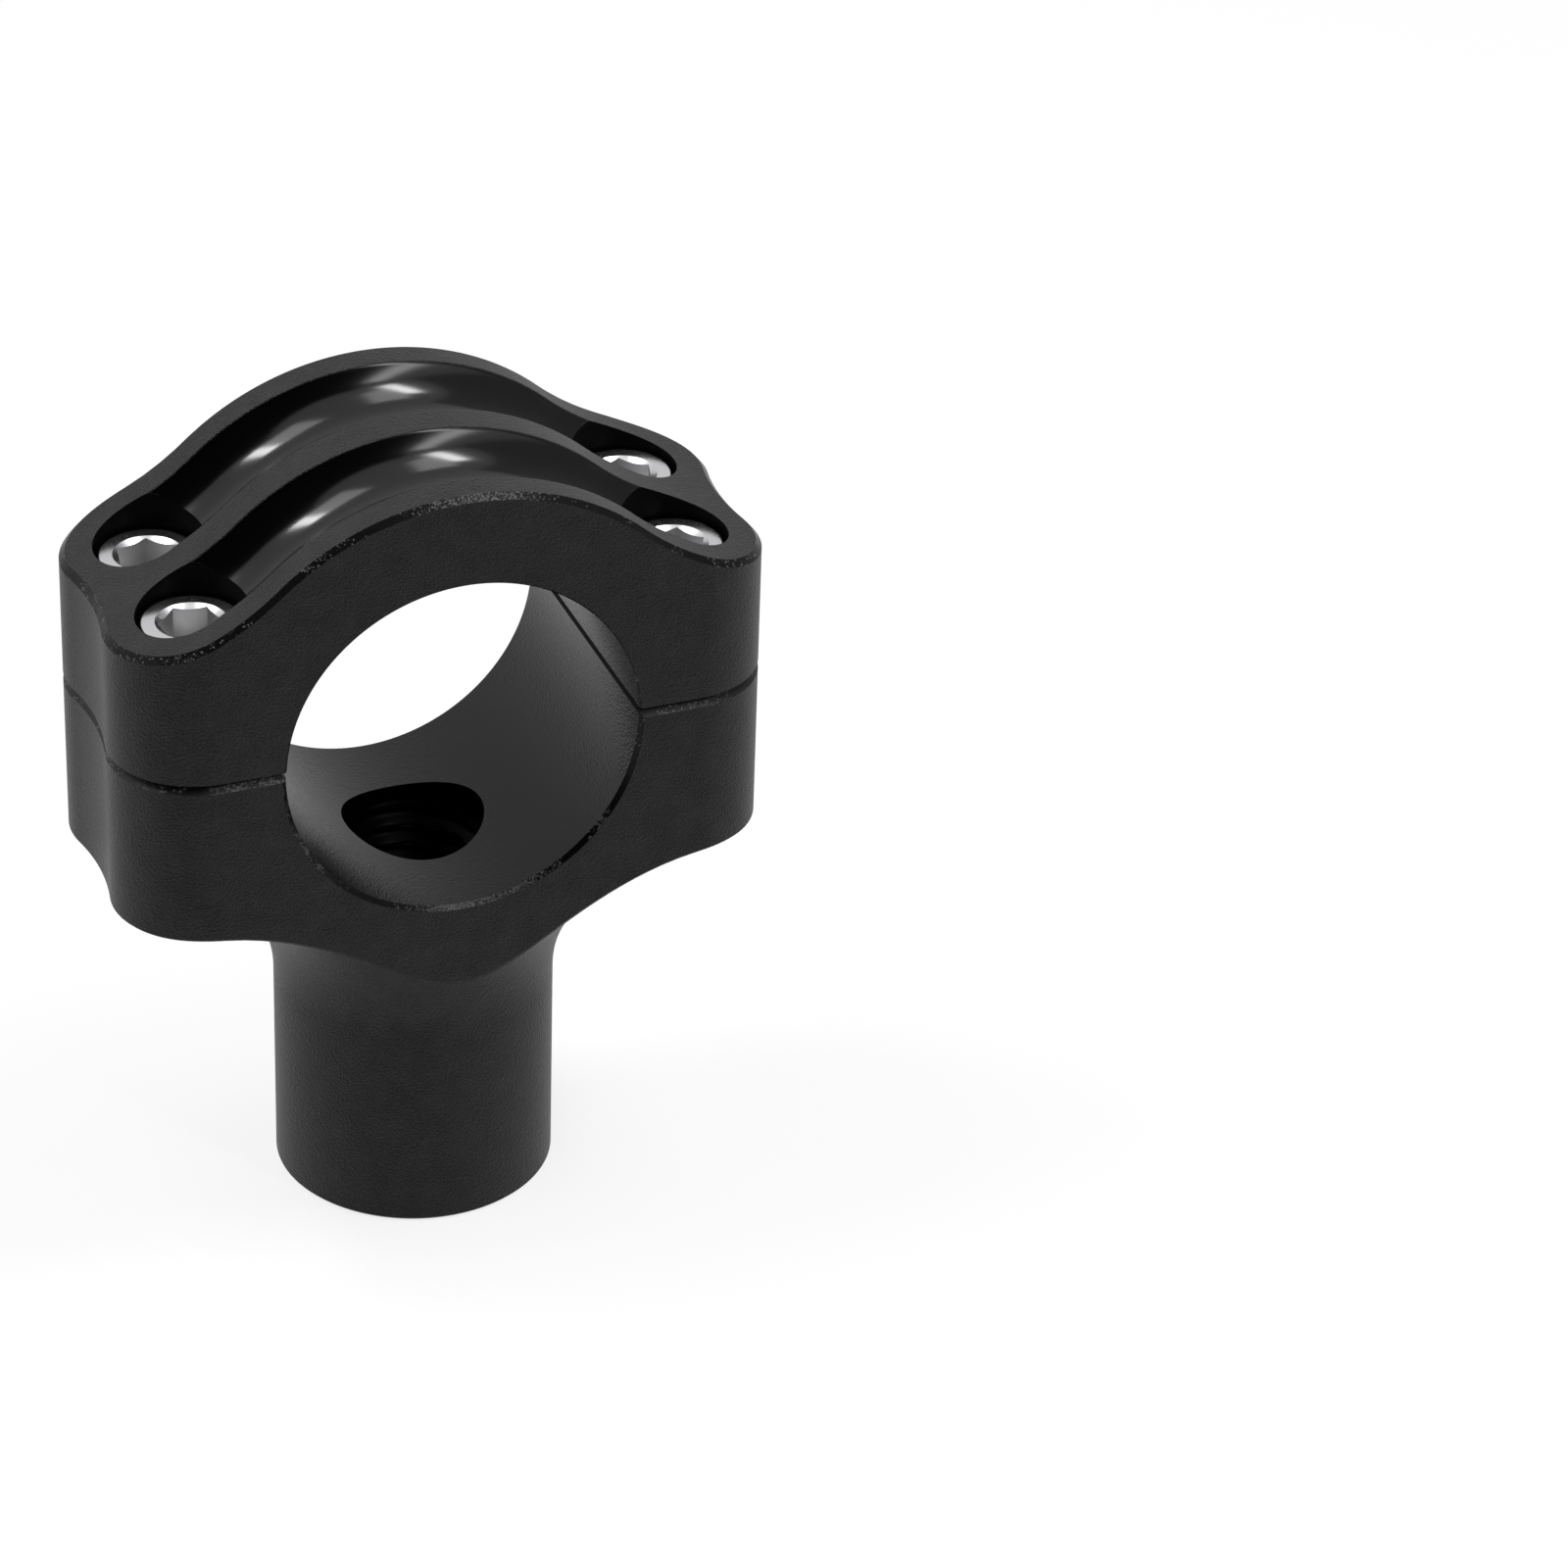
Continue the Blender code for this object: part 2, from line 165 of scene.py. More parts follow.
def makeGlintGroup():
    # painted glints: bright specks in the colour along machined edges, standing in for the lamps'
    # highlights on the rough cut
    settings = {
        "patchScale": 330.0,
        "patchRange": (0.45, 0.65),
        "patchShare": 0.4,
        "highlightMiddle": 0.0015,       # along X, where the painted highlight lies thickest
        "highlightFade": (0.002, 0.0075),
    }
    group, source, sink = newGroup(
        "paintedEdgeGlints",
        [("Colour", "NodeSocketColor", (0.01, 0.01, 0.01, 1.0)),
         ("Glint Colour", "NodeSocketColor", (0.5, 0.5, 0.5, 1.0)),
         ("Speck Size", "NodeSocketFloat", 0.00013),
         ("Amount", "NodeSocketFloat", 0.3)],
        [("Colour", "NodeSocketColor"), ("Mask", "NodeSocketFloat"),
         ("Height", "NodeSocketFloat")],
    )
    link = group.links.new
    perSpeck = addMath(group, "DIVIDE", 1.0, source.outputs["Speck Size"])
    cells = addTexture(group, "ShaderNodeTexVoronoi", perSpeck, feature="F1", Randomness=1.0)
    tone = addNode(group, "ShaderNodeSeparateColor")
    link(cells.outputs["Color"], tone.inputs[0])
    patches = addTexture(group, "ShaderNodeTexNoise", settings["patchScale"],
                         noise_dimensions="3D", Detail=2.0)
    patchy = addRange(group, patches.outputs["Fac"], settings["patchRange"])
    thin = addMath(group, "MULTIPLY", patchy, settings["patchShare"])
    # painted highlight: thickest over the middle of the crown, where the lamps' highlight falls,
    # and thin along the ears
    place = addNode(group, "ShaderNodeTexCoord")
    along = addNode(group, "ShaderNodeSeparateXYZ")
    link(place.outputs["Object"], along.inputs[0])
    centred = addMath(group, "SUBTRACT", along.outputs["X"], settings["highlightMiddle"])
    reach = addMath(group, "ABSOLUTE", centred)
    underHighlight = addRange(group, reach, settings["highlightFade"], (1.0, 0.0))
    share = addMath(group, "MAXIMUM", thin, underHighlight)
    kept = addMath(group, "MULTIPLY", share, source.outputs["Amount"])
    limit = addMath(group, "SUBTRACT", 1.0, kept)
    shows = addMath(group, "GREATER_THAN", tone.outputs["Red"], limit)
    strength = addMath(group, "MULTIPLY", shows, tone.outputs["Green"])
    colour = addNode(group, "ShaderNodeMix", data_type="RGBA")
    link(strength, colour.inputs[0])
    link(source.outputs["Colour"], colour.inputs[6])
    link(source.outputs["Glint Colour"], colour.inputs[7])
    link(colour.outputs[2], sink.inputs["Colour"])
    link(strength, sink.inputs["Mask"])
    link(tone.outputs["Blue"], sink.inputs["Height"])
    return group


blastGroup = makeBlastGroup()
glintGroup = makeGlintGroup()


def makeBlasted(name, settings):
    material, tree, shader = newMaterial(name)
    grain = placeGroup(tree, blastGroup, {
        "Colour": settings["colour"], "Grain Size": settings["grainSize"],
        "Mottle": settings["mottle"], "Roughness": settings["roughness"]})
    tree.links.new(grain.outputs["Colour"], shader.inputs["Base Color"])
    tree.links.new(grain.outputs["Roughness"], shader.inputs["Roughness"])
    addBump(tree, shader, grain.outputs["Height"], settings)
    shader.inputs["Specular IOR Level"].default_value = settings["specular"]
    return material


def makeCutBlack(name, settings):
    # black where a tool has cut, with the faint ripple that it leaves; for pockets and holes the
    # colour given is darker still, as painted shade
    material, tree, shader = newMaterial(name)
    ripple = addTexture(tree, "ShaderNodeTexNoise", settings["rippleScale"],
                        noise_dimensions="3D", Detail=2.0)
    addBump(tree, shader, ripple.outputs["Fac"], settings)
    shader.inputs["Base Color"].default_value = settings["colour"]
    shader.inputs["Roughness"].default_value = settings["roughness"]
    shader.inputs["Specular IOR Level"].default_value = settings["specular"]
    return material


def makeGlintEdge(name, settings):
    # a dark edge whose colour carries painted glints
    material, tree, shader = newMaterial(name)
    glints = placeGroup(tree, glintGroup, {
        "Colour": settings["colour"], "Glint Colour": settings["glintColour"],
        "Speck Size": settings["speckSize"], "Amount": settings["amount"]})
    tree.links.new(glints.outputs["Colour"], shader.inputs["Base Color"])
    addBump(tree, shader, glints.outputs["Height"], settings)
    shader.inputs["Roughness"].default_value = settings["roughness"]
    shader.inputs["Specular IOR Level"].default_value = settings["specular"]
    return material


def makePlate(name, settings):
    material, tree, shader = newMaterial(name)
    streaks = addTexture(tree, "ShaderNodeTexNoise", settings["streakScale"],
                         noise_dimensions="3D", Detail=3.0)
    rough = addRange(tree, streaks.outputs["Fac"], (0.0, 1.0),
                     (settings["roughness"] - settings["roughnessSpread"],
                      settings["roughness"] + settings["roughnessSpread"]))
    tree.links.new(rough, shader.inputs["Roughness"])
    addBump(tree, shader, streaks.outputs["Fac"], settings)
    shader.inputs["Base Color"].default_value = settings["colour"]
    shader.inputs["Metallic"].default_value = 1.0
    return material


blastedBlack = makeBlasted("blastedBlack", {
    "colour": (0.0062, 0.0062, 0.0064, 1.0), "grainSize": 0.00016, "mottle": 2.4,
    "roughness": 0.42, "specular": 0.2, "bumpHeight": 0.00006, "bumpStrength": 1.0})
# the bore's smoother blasted finish, with its colour darkened as painted shade inside the bore
boreShadedBlack = makeBlasted("boreShadedBlack", {
    "colour": (0.0025, 0.0025, 0.0026, 1.0), "grainSize": 0.00016, "mottle": 1.2,
    "roughness": 0.2, "specular": 0.17, "bumpHeight": 0.00002, "bumpStrength": 1.0})
# near black and hardly glossy: painted shade in the screw pockets and on the split's broken edge in
# the bore
pocketShadeBlack = makeCutBlack("pocketShadeBlack", {
    "colour": (0.0007, 0.0007, 0.0007, 1.0), "roughness": 0.5, "specular": 0.06,
    "rippleScale": 1500.0, "bumpHeight": 0.00001, "bumpStrength": 0.6})
milledBlack = makeCutBlack("milledBlack", {
    "colour": (0.0014, 0.0014, 0.0014, 1.0), "roughness": 0.15, "specular": 0.36,
    "rippleScale": 900.0, "bumpHeight": 0.000004, "bumpStrength": 0.5})
# near black and hardly glossy: painted shade on the threads deep in the holes
holeShadeBlack = makeCutBlack("holeShadeBlack", {
    "colour": (0.0008, 0.0008, 0.0008, 1.0), "roughness": 0.4, "specular": 0.07,
    "rippleScale": 2200.0, "bumpHeight": 0.000006, "bumpStrength": 0.5})
# dark cut edges with painted glints: bright specks in the colour stand in for the lamps' highlights
paintedGlintEdge = makeGlintEdge("paintedGlintEdge", {
    "colour": (0.0012, 0.0012, 0.0012, 1.0), "glintColour": (0.13, 0.13, 0.13, 1.0),
    "speckSize": 0.00013, "amount": 0.6, "roughness": 0.3, "specular": 0.15,
    "bumpHeight": 0.00001, "bumpStrength": 0.6})
boreGlintEdge = makeGlintEdge("boreGlintEdge", {
    "colour": (0.0012, 0.0012, 0.0012, 1.0), "glintColour": (0.1, 0.1, 0.1, 1.0),
    "speckSize": 0.00013, "amount": 1.3, "roughness": 0.3, "specular": 0.15,
    "bumpHeight": 0.00001, "bumpStrength": 0.6})
splitGlintEdge = makeGlintEdge("splitGlintEdge", {
    "colour": (0.0035, 0.0035, 0.0035, 1.0), "glintColour": (0.13, 0.13, 0.13, 1.0),
    "speckSize": 0.00013, "amount": 1.7, "roughness": 0.45, "specular": 0.25,
    "bumpHeight": 0.00001, "bumpStrength": 0.6})
brightPlate = makePlate("brightPlate", {
    "colour": (0.53, 0.53, 0.54, 1.0), "roughness": 0.24, "roughnessSpread": 0.07,
    "streakScale": 2600.0, "bumpHeight": 0.000006, "bumpStrength": 0.4})
# the socket's inside: rougher plate, with its colour a little darker as painted shade in the socket
socketShadePlate = makePlate("socketShadePlate", {
    "colour": (0.5, 0.5, 0.505, 1.0), "roughness": 0.42, "roughnessSpread": 0.07,
    "streakScale": 2600.0, "bumpHeight": 0.000006, "bumpStrength": 0.4})
print("materials made")


def meshObject(name, points, faces, materials, faceSlots):
    mesh = bpy.data.meshes.new(name)
    mesh.from_pydata(points, [], faces)
    for material in materials:
        mesh.materials.append(material)
    mesh.polygons.foreach_set("material_index", faceSlots)
    mesh.validate()
    piece = bpy.data.objects.new(name, mesh)
    bpy.context.scene.collection.objects.link(piece)
    return piece


def skinRings(name, rings, materials, bandSlots, endSlots=(0, 0)):
    # closed rings, all with the same number of points, skinned one to the next and closed
    # at both ends; a band between two rings has one slot, or a list with one for each face
    count = len(rings[0])
    points = [tuple(point) for ring in rings for point in ring]
    faces = [tuple(reversed(range(count)))]
    slots = [endSlots[0]]
    for level, slot in enumerate(bandSlots):
        low = level * count
        for step in range(count):
            after = (step + 1) % count
            faces.append((low + step, low + after, low + count + after, low + count + step))
            slots.append(slot[step] if isinstance(slot, list) else slot)
    last = (len(rings) - 1) * count
    faces.append(tuple(range(last, last + count)))
    slots.append(endSlots[1])
    return meshObject(name, points, faces, materials, slots)


def circle(radius, height, segments):
    turn = 2.0 * math.pi / segments
    return [Vector((radius * math.cos(step * turn), radius * math.sin(step * turn), height))
            for step in range(segments)]


def applyCut(piece, cutter, operation="DIFFERENCE"):
    modifier = piece.modifiers.new("cut", "BOOLEAN")
    modifier.operation = operation
    modifier.object = cutter
    modifier.solver = "EXACT"
    modifier.material_mode = "TRANSFER"
    bpy.context.view_layer.update()
    evaluated = piece.evaluated_get(bpy.context.evaluated_depsgraph_get())
    mesh = bpy.data.meshes.new_from_object(evaluated)
    old = piece.data
    piece.modifiers.clear()
    piece.data = mesh
    bpy.data.meshes.remove(old)
    cutterMesh = cutter.data
    bpy.data.objects.remove(cutter)
    bpy.data.meshes.remove(cutterMesh)


def evenShading(piece):
    weighted = piece.modifiers.new("even shading", "WEIGHTED_NORMAL")
    weighted.keep_sharp = True


def smoothMesh(mesh, sharpAngle):
    mesh.shade_smooth()
    mesh.set_sharp_from_angle(angle=sharpAngle)


def joinCutters(name, cutters):
    points, faces, slots = [], [], []
    for cutter in cutters:
        base = len(points)
        points.extend(cutter.matrix_world @ vertex.co for vertex in cutter.data.vertices)
        faces.extend(tuple(base + index for index in face.vertices)
                     for face in cutter.data.polygons)
        slots.extend(face.material_index for face in cutter.data.polygons)
    materials = list(cutters[0].data.materials)
    for cutter in cutters:
        bpy.data.objects.remove(cutter)
    return meshObject(name, points, faces, materials, slots)


def clamp(value):
    return min(1.0, max(0.0, value))


clampShape = {
    "boreRadius": 0.015875,
    "boreAxis": 0.05018,         # height of the bore's axis over the foot
    "halfWidth": 0.01405,        # half of the clamp along the bar
    "earReach": 0.02922,
    "lobeRadius": 0.00771,
    "valleyDepth": 0.00066,
    "splitMiddle": 0.00046,      # over the bore's axis
    "splitGap": 0.0003,
    "boreSplitEdge": 0.00022,    # broken edge where the split meets the bore
    "frontSteps": 26,
    "lobeSteps": 24,
    "valleySteps": 8,
    "boreSegments": 240,
    "overrun": 0.001,            # cutters run this far past what they open
    "sharpAngle": math.radians(30.0),
}

boreAxis = clampShape["boreAxis"]
halfWidth = clampShape["halfWidth"]
overrun = clampShape["overrun"]
bodyTop = boreAxis + clampShape["splitMiddle"] - clampShape["splitGap"] / 2.0
capBottom = boreAxis + clampShape["splitMiddle"] + clampShape["splitGap"] / 2.0


def planOutline(inset):
    # the clamp from above: flat front and back, and two lobes with a shallow valley
    # at each ear's end
    lobeX = clampShape["earReach"] - clampShape["lobeRadius"]
    lobeY = halfWidth - clampShape["lobeRadius"]
    dip = clampShape["valleyDepth"]
    valleyRadius = (lobeY**2 + dip**2) / (2.0 * dip) - clampShape["lobeRadius"]
    valleyX = clampShape["earReach"] - dip + valleyRadius
    meeting = math.atan2(lobeY, valleyX - lobeX)
    quarter = []
    for step in range(clampShape["valleySteps"]):
        angle = meeting * step / clampShape["valleySteps"]
        reach = valleyRadius + inset
        quarter.append((valleyX - reach * math.cos(angle), reach * math.sin(angle)))
    for step in range(clampShape["lobeSteps"]):
        angle = -meeting + (math.pi / 2.0 + meeting) * step / clampShape["lobeSteps"]
        reach = clampShape["lobeRadius"] - inset
        quarter.append((lobeX + reach * math.cos(angle), lobeY + reach * math.sin(angle)))
    corner = math.atan2(halfWidth, lobeX)
    for step in range(clampShape["frontSteps"]):
        angle = corner + (math.pi / 2.0 - corner) * step / clampShape["frontSteps"]
        quarter.append((halfWidth / math.tan(angle), halfWidth - inset))
    rightHalf = quarter + [(0.0, halfWidth - inset)]
    back = rightHalf + [(-x, y) for x, y in reversed(quarter)]
    return back + [(-x, -y) for x, y in back[1:-1]]


def planRing(inset, height):
    # height is a number, or a function of x
    return [Vector((x, y, height(x) if callable(height) else height))
            for x, y in planOutline(inset)]


def boreCutter(chamfer, materials):
    radius = clampShape["boreRadius"]
    mouth = radius + chamfer + overrun
    segments = clampShape["boreSegments"]
    rings = [circle(mouth, -halfWidth - overrun, segments),
             circle(radius, -halfWidth + chamfer, segments),
             circle(radius, halfWidth - chamfer, segments),
             circle(mouth, halfWidth + overrun, segments)]
    quarterTurn = Matrix.Rotation(-math.pi / 2.0, 4, "X")
    turned = Matrix.Translation((0.0, 0.0, boreAxis)) @ quarterTurn
    rings = [[turned @ point for point in ring] for ring in rings]
    return skinRings("bore cutter", rings, materials, [0, 1, 0])


def splitEdgeCutter(height, materials):
    # four-sided bars along both edges where the split meets the bore
    size = clampShape["boreSplitEdge"]
    corners = ((1.0, 0.0), (0.0, -1.0), (-1.0, 0.0), (0.0, 1.0))
    bars = []
    for side in (-1.0, 1.0):
        x = side * math.sqrt(clampShape["boreRadius"]**2 - clampShape["splitMiddle"]**2)
        rings = [[Vector((x + dx * size, y, height + dz * size)) for dx, dz in corners]
                 for y in (-halfWidth - overrun, halfWidth + overrun)]
        bars.append(skinRings("split edge bar", rings, materials, [0]))
    bpy.context.view_layer.update()
    return joinCutters("split edge cutter", bars)


screwShape = {
    "reach": 0.02161,
    "spread": 0.00627,
    "radius": 0.003,
    "length": 0.016,
    "tipEdge": 0.0005,
    "headRadius": 0.00435,
    "headHeight": 0.006,
    "headTop": 0.01197,          # over the bore's axis
    "headEdge": 0.0002,
    "headEdgeSteps": 6,
    "seatEdge": 0.00015,
    "acrossFlats": 0.005,
    "socketDepth": 0.003,
    "socketMouth": 0.00308,      # radius of the countersunk mouth
    "mouthSlope": math.radians(30.0),
    "socketFloor": 0.94,         # of the hexagon's inner circle
    "drillTip": 0.00012,
    "drillDepth": 0.0011,        # of the drill's cone in the socket's floor
    "clearance": 0.0003,         # round the shank and under the head
    "threadPitch": 0.001,
    "threadDepth": 0.00055,
    "threadCrest": 0.12,         # flat share of a turn
    "threadFlank": 0.7,
    "threadRows": 170,
    "threadEnds": (0.0006, 0.0012),     # bare ends by the tip and by the head
    "threadFades": (0.0008, 0.0012),
    "knurlDepth": 0.00006,
    "knurlEnds": (0.0005, 0.0007),      # bare ends by the seat and by the top
    "knurlLead": 0.0002,
    "segments": 96,
    "sharpAngle": math.radians(20.0),
    # how far each one is turned, in degrees, and how much higher than seated it stands
    "turns": {"front_left": -14.0, "front_right": 3.0, "back_left": 18.0, "back_right": 16.0},
    "rises": {"front_left": 0.00037, "front_right": 0.0,
              "back_left": 0.00007, "back_right": 0.00027},
}

headUnderside = boreAxis + screwShape["headTop"] - screwShape["headHeight"]


def screwPlaces():
    reach, spread = screwShape["reach"], screwShape["spread"]
    return {"front_left": (-reach, -spread), "front_right": (reach, -spread),
            "back_left": (-reach, spread), "back_right": (reach, spread)}


def drillCutter(name, outline, materials, slots, segments):
    # the same turned cutter at each screw, from an outline of (radius, height)
    cutters = []
    for x, y in screwPlaces().values():
        rings = [circle(radius, height, segments) for radius, height in outline]
        cutter = skinRings(name, rings, materials, slots)
        cutter.matrix_world = Matrix.Translation((x, y, 0.0))
        cutters.append(cutter)
    bpy.context.view_layer.update()
    return joinCutters(name, cutters)


bodyShape = {
    "splitChamfer": 0.0005,
    "boreChamfer": 0.0004,
    "flareTop": 0.0353,          # the flat underside of the ears' ends, over the foot
    "flareRadius": 0.0158,
    "undersideChamfer": 0.0002,
    "undersideSteps": 40,
    "flatShare": 0.35,           # how densely the flat part is stepped beside the flare
    "postRadius": 0.01248,
    "footChamfer": 0.0003,
    "holeRadius": 0.0063,
    "holeSegments": 128,
    "countersink": 0.0006,
    "tappedDepth": 0.0114,       # under the bore's axis
    "tappedTip": (0.0003, 0.0016),      # radius and depth of the drill's tip under it
    "tappedSegments": 64,
}


def undersideHeight(run):
    # height of the turned flare at this distance from the post's wall
    radius = bodyShape["flareRadius"]
    if run >= radius:
        return bodyShape["flareTop"]
    return bodyShape["flareTop"] - radius + math.sqrt(radius**2 - (radius - run) ** 2)


def undersidePoint(edge, share):
    # from the post's wall (share 0) to the clamp's edge (share 1), closer on the flare
    radius = bodyShape["flareRadius"]
    flatShare = bodyShape["flatShare"]
    reach = math.hypot(edge[0], edge[1])
    run = reach - bodyShape["postRadius"]
    flareRun = min(radius, run)
    flareLength = radius * math.acos(1.0 - flareRun / radius)
    along = share * (flareLength + (run - flareRun) * flatShare)
    if along <= flareLength:
        travelled = radius * (1.0 - math.cos(along / radius))
    else:
        travelled = flareRun + (along - flareLength) / flatShare
    scale = (bodyShape["postRadius"] + travelled) / reach
    return Vector((edge[0] * scale, edge[1] * scale, undersideHeight(travelled)))


def undersideRim():
    ring = []
    for x, y in planOutline(0.0):
        height = undersideHeight(math.hypot(x, y) - bodyShape["postRadius"])
        ring.append(Vector((x, y, height + bodyShape["undersideChamfer"])))
    return ring


def postRing(radius, height):
    ring = []
    for x, y in planOutline(bodyShape["undersideChamfer"]):
        reach = math.hypot(x, y)
        ring.append(Vector((x * radius / reach, y * radius / reach, height)))
    return ring


def makeBody():
    shape = bodyShape
    materials = [blastedBlack, paintedGlintEdge, holeShadeBlack, splitGlintEdge]
    plain, brokenEdge, thread, splitEdge = range(4)
    rings = [postRing(shape["postRadius"] - shape["footChamfer"], 0.0),
             postRing(shape["postRadius"], shape["footChamfer"])]
    bands = [brokenEdge, plain]
    edge = planOutline(shape["undersideChamfer"])
    for step in range(shape["undersideSteps"] + 1):
        rings.append([undersidePoint(point, step / shape["undersideSteps"]) for point in edge])
        bands.append(plain)
    rings.append(undersideRim())
    bands.append(plain)
    rings.append(planRing(0.0, bodyTop - shape["splitChamfer"]))
    bands.append(splitEdge)
    rings.append(planRing(shape["splitChamfer"], bodyTop))
    body = skinRings("riserBody", rings, materials, bands)
    applyCut(body, boreCutter(shape["boreChamfer"], [boreGlintEdge, boreShadedBlack]))
    # these faces take the pockets' painted shade, a dark line along the split
    applyCut(body, splitEdgeCutter(bodyTop, [pocketShadeBlack]))

    segments = shape["holeSegments"]
    wide = shape["holeRadius"] + shape["countersink"]
    rings = [circle(wide + overrun, -overrun, segments),
             circle(shape["holeRadius"], shape["countersink"], segments),
             circle(shape["holeRadius"], boreAxis, segments)]
    hole = skinRings("hole cutter", rings, materials, [brokenEdge, thread], (thread, thread))
    applyCut(body, hole)

    radius = screwShape["radius"] + screwShape["clearance"]
    bottom = boreAxis - shape["tappedDepth"]
    tipRadius, tipDepth = shape["tappedTip"]
    outline = [(tipRadius, bottom - tipDepth), (radius, bottom), (radius, bodyTop + overrun)]
    applyCut(body, drillCutter("tapped hole", outline, materials, [thread, thread],
                               shape["tappedSegments"]))
    smoothMesh(body.data, clampShape["sharpAngle"])
    evenShading(body)
    return body


capShape = {
    "splitChamfer": 0.00015,
    "boreChamfer": 0.00015,
    "crownRadius": 0.02434,
    "crownBlend": 0.02434,
    "earTop": 0.01207,           # over the bore's axis
    "topChamfer": 0.00053,
    "grooveHalfWidth": 0.00456,
    "grooveDepth": 0.0029,       # at the middle of its round floor
    "grooveRunOut": 0.0003,
    "grooveLip": 0.00007,        # broken edge along each ridge
    "lipShare": 1.2,             # of the lip that the round floor leaves out
    "pocketRadius": 0.00478,
    "grooveSteps": 150,
    "arcSteps": 48,
    "earSteps": 24,
    "pocketSegments": 96,
}

blankSide = 2.0 * halfWidth      # the crown's form is cut from a blank this wide to each side


def archHeight(x, archRadius, blendRadius, flatHeight):
    # over the bore's axis, for a round arch whose feet sweep out into flat ears
    x = abs(x)
    flatStart = math.sqrt((archRadius + blendRadius) ** 2 - (flatHeight + blendRadius) ** 2)
    archEnd = flatStart * archRadius / (archRadius + blendRadius)
    if x < archEnd:
        return math.sqrt(archRadius**2 - x**2)
    if x < flatStart:
        return flatHeight + blendRadius - math.sqrt(blendRadius**2 - (flatStart - x) ** 2)
    return flatHeight


def capTop(x):
    return boreAxis + archHeight(x, capShape["crownRadius"], capShape["crownBlend"],
                                 capShape["earTop"])


def crownNormal(x):
    run = 0.00001
    rise = (capTop(x + run) - capTop(x - run)) / (2.0 * run)
    return Vector((-rise, 0.0, 1.0)).normalized()


def crownSection():
    # (y, depth) across the bar from back to front, with two round grooves whose rims
    # are broken, and the slot of each strip: 1 where it is milled
    shape = capShape
    wide, depth, lip = shape["grooveHalfWidth"], shape["grooveDepth"], shape["grooveLip"]
    radius = (wide**2 + depth**2) / (2.0 * depth)
    rim = math.asin(wide / radius)
    across = [(wide + lip, 0.0)]
    for step in range(shape["arcSteps"] + 1):
        turn = (rim - shape["lipShare"] * lip / radius) * (1.0 - 2.0 * step / shape["arcSteps"])
        across.append((radius * math.sin(turn), radius * math.cos(turn) - radius + depth))
    across.append((-wide - lip, 0.0))
    spread = screwShape["spread"]
    section = [(blankSide, 0.0)] + [(spread + y, d) for y, d in across]
    section += [(-spread + y, d) for y, d in across] + [(-blankSide, 0.0)]
    milled = [1 if min(first[1], second[1]) > 0.0 else 0
              for first, second in zip(section, section[1:])]
    return section, milled


def crownForm(materials):
    # everything under the crown's surface, grooved between the screws
    shape = capShape
    grooveEnd = screwShape["reach"]
    runOut = grooveEnd + shape["grooveRunOut"]
    reach = clampShape["earReach"] + overrun
    ends = [(runOut + (reach - runOut) * step / shape["earSteps"])
            for step in range(shape["earSteps"] + 1)]
    stations = [(-x, 0.0) for x in reversed(ends)]
    for step in range(shape["grooveSteps"] + 1):
        stations.append((-grooveEnd * (1.0 - 2.0 * step / shape["grooveSteps"]), 1.0))
    stations += [(x, 0.0) for x in ends]
    section, milled = crownSection()
    low = boreAxis - overrun
    rings = []
    for x, groove in stations:
        normal = crownNormal(x)
        ring = [Vector((x, -blankSide, low)), Vector((x, blankSide, low))]
        ring += [Vector((x, y, capTop(x))) - normal * depth * groove for y, depth in section]
        rings.append(ring)
    strips = [0, 0] + milled + [0]
    bands = [strips if here[1] + after[1] > 0.0 else 0
             for here, after in zip(stations, stations[1:])]
    return skinRings("crown form", rings, materials, bands)


def makeCap():
    shape = capShape
    materials = [blastedBlack, paintedGlintEdge, milledBlack]
    plain, brokenEdge = 0, 1
    past = 2.0 * overrun         # the top chamfer runs on this far over the top
    cutterTop = boreAxis + shape["crownRadius"] + 3.0 * overrun
    rings = [planRing(shape["splitChamfer"], capBottom),
             planRing(0.0, capBottom + shape["splitChamfer"]),
             planRing(0.0, lambda x: capTop(x) - shape["topChamfer"]),
             planRing(shape["topChamfer"] + past, lambda x: capTop(x) + past),
             planRing(shape["topChamfer"] + past, cutterTop)]
    cap = skinRings("clampCap", rings, materials, [brokenEdge, plain, brokenEdge, plain])
    applyCut(cap, crownForm([blastedBlack, milledBlack]), "INTERSECT")
    applyCut(cap, boreCutter(shape["boreChamfer"], [paintedGlintEdge, boreShadedBlack]))
    applyCut(cap, splitEdgeCutter(capBottom, [pocketShadeBlack]))
    holeRadius = screwShape["radius"] + screwShape["clearance"]
    floor = headUnderside - screwShape["clearance"]
    outline = [(holeRadius, capBottom - overrun), (holeRadius, floor),
               (shape["pocketRadius"], floor), (shape["pocketRadius"], cutterTop)]
    applyCut(cap, drillCutter("screw pocket", outline, [pocketShadeBlack], [0, 0, 0],
                              shape["pocketSegments"]))
    smoothMesh(cap.data, clampShape["sharpAngle"])
    evenShading(cap)
    return cap


def screwThread(z, angle):
    # how far the flank lies inside the outer radius, fading out at both ends of the thread
    shape = screwShape
    phase = (z / shape["threadPitch"] - angle / (2.0 * math.pi)) % 1.0
    flank = clamp((abs(phase - 0.5) * 2.0 - shape["threadCrest"]) / shape["threadFlank"])
    start = -shape["length"] + shape["threadEnds"][0]
    stop = -shape["threadEnds"][1]
    fade = min(clamp((z - start) / shape["threadFades"][0]),
               clamp((stop - z) / shape["threadFades"][1]))
    return shape["threadDepth"] * flank * fade


